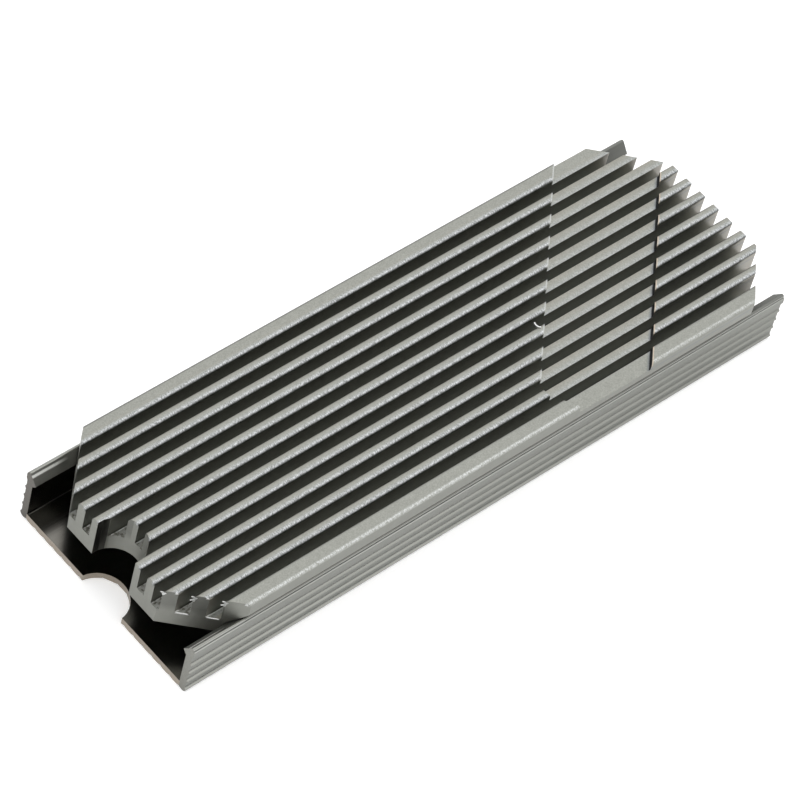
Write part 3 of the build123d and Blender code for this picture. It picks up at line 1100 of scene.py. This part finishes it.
# %% [markdown]
# ### Rails
# The cover runs on the slopes of the barbs, which are told from the rest by their tilt and
# height. Where they stand free of it at the notch end, a thin painted highlight runs along them.

# %% Tray aluminium: rails
slope_highlight_ends = (-35.2, -33.8)
least_tilt = 0.3
most_tilt = 0.8
barb_slope = add_node(tray_metal, "ShaderNodeMath", {
    0: level.outputs[0], 1: tray_axes.outputs["Z"],
}, operation="MULTIPLY")
barb_slope = add_node(tray_metal, "ShaderNodeMath", {
    0: barb_slope.outputs[0], 1: least_tilt * barb_foot,
}, operation="GREATER_THAN")
below_wall_top = add_node(tray_metal, "ShaderNodeMath", {
    0: level.outputs[0], 1: most_tilt,
}, operation="LESS_THAN")
inward_of_wall = add_node(tray_metal, "ShaderNodeMath", {
    0: from_middle.outputs[0], 1: wall_top_inner,
}, operation="LESS_THAN")
for mask in (below_wall_top, inward_of_wall):
    barb_slope = add_node(tray_metal, "ShaderNodeMath", {
        0: barb_slope.outputs[0], 1: mask.outputs[0],
    }, operation="MULTIPLY")
along_rails = add_node(tray_metal, "ShaderNodeMapRange", {
    "Value": tray_axes.outputs["X"],
    "From Min": -20.0, "From Max": 20.0, "To Min": 0.0, "To Max": 1.0,
})
slope_grey = add_node(tray_metal, "ShaderNodeMix", {
    "Factor": along_rails.outputs[0],
    "A": from_hex("#787874"),
    "B": from_hex("#747571"),
}, data_type="RGBA")
# Painted highlight along the slopes, fading out towards the cover.
off_slope_highlight = add_node(tray_metal, "ShaderNodeMath", {
    0: from_middle.outputs[0], 1: rail_highlight_line,
}, operation="SUBTRACT")
off_slope_highlight = add_node(tray_metal, "ShaderNodeMath", {0: off_slope_highlight.outputs[0]}, operation="ABSOLUTE")
slope_highlight = add_node(tray_metal, "ShaderNodeMapRange", {
    "Value": off_slope_highlight.outputs[0],
    "From Min": 0.05, "From Max": 0.12, "To Min": 1.0, "To Max": 0.0,
})
slope_highlight_fade = add_node(tray_metal, "ShaderNodeMapRange", {
    "Value": tray_axes.outputs["X"],
    "From Min": slope_highlight_ends[0], "From Max": slope_highlight_ends[1], "To Min": 1.0, "To Max": 0.0,
})
slope_highlight = add_node(tray_metal, "ShaderNodeMath", {
    0: slope_highlight.outputs[0], 1: slope_highlight_fade.outputs[0],
}, operation="MULTIPLY")
slope_grey = add_node(tray_metal, "ShaderNodeMix", {
    "Factor": slope_highlight.outputs[0],
    "A": slope_grey.outputs["Result"],
    "B": from_hex("#FFFFFC"),
}, data_type="RGBA")
tray_layers.append((barb_slope, slope_grey.outputs["Result"]))
print("Gleam fades out between X", slope_highlight_ends[0], "and", slope_highlight_ends[1], "mm")

# %% [markdown]
# ### The tray's layers, roughness and bump
# The layers are laid over the base grey, and the die lines then lighten or darken the result.
# The drawn surface is smoother than a blasted one. The slopes, the valley and the half towards
# the plain end, where the part is handled, are rougher.

# %% Tray aluminium: colour, roughness and bump
rubbed_roughness = 0.25
handled_roughness = 0.2
handled_ends = (-10.0, 25.0)
die_line_depth = 0.01
tray_grey = grey_with_inner_shade
for mask, colour in tray_layers:
    tray_grey = add_node(tray_metal, "ShaderNodeMix", {
        "Factor": mask.outputs[0],
        "A": tray_grey.outputs["Result"],
        "B": colour,
    }, data_type="RGBA")
tray_tone = add_node(tray_metal, "ShaderNodeVectorMath", {
    0: tray_grey.outputs["Result"], "Scale": die_tone.outputs[0],
}, operation="SCALE")
tray_metal.node_tree.links.new(tray_tone.outputs[0], tray_shader.inputs["Base Color"])
tray_roughness = add_node(tray_metal, "ShaderNodeMapRange", {
    "Value": inside.outputs[0],
    "From Min": 0.0, "From Max": 1.0, "To Min": 0.24, "To Max": 0.2,
})
rough_places = add_node(tray_metal, "ShaderNodeMath", {
    0: barb_slope.outputs[0], 1: valley_painted_light.outputs[0],
}, operation="MAXIMUM")
tray_roughness = add_node(tray_metal, "ShaderNodeMath", {
    0: rough_places.outputs[0], 1: rubbed_roughness, 2: tray_roughness.outputs[0],
}, operation="MULTIPLY_ADD")
handled_half = add_node(tray_metal, "ShaderNodeMapRange", {
    "Value": tray_axes.outputs["X"],
    "From Min": handled_ends[0], "From Max": handled_ends[1],
    "To Min": 0.0, "To Max": handled_roughness,
})
tray_roughness = add_node(tray_metal, "ShaderNodeMath", {
    0: tray_roughness.outputs[0], 1: handled_half.outputs[0],
}, operation="ADD")
tray_metal.node_tree.links.new(tray_roughness.outputs[0], tray_shader.inputs["Roughness"])
tray_bump = add_node(tray_metal, "ShaderNodeBump", {
    "Height": die_lines.outputs[0], "Distance": die_line_depth * mm, "Strength": 0.5,
})
tray_metal.node_tree.links.new(tray_bump.outputs[0], tray_shader.inputs["Normal"])
tray_shader.inputs["Metallic"].default_value = 1.0
tray_node = frame["nodes"]["tray"]
tray_node.data.materials.clear()
tray_node.data.materials.append(tray_metal)
print("Tray finished in", tray_metal.name)
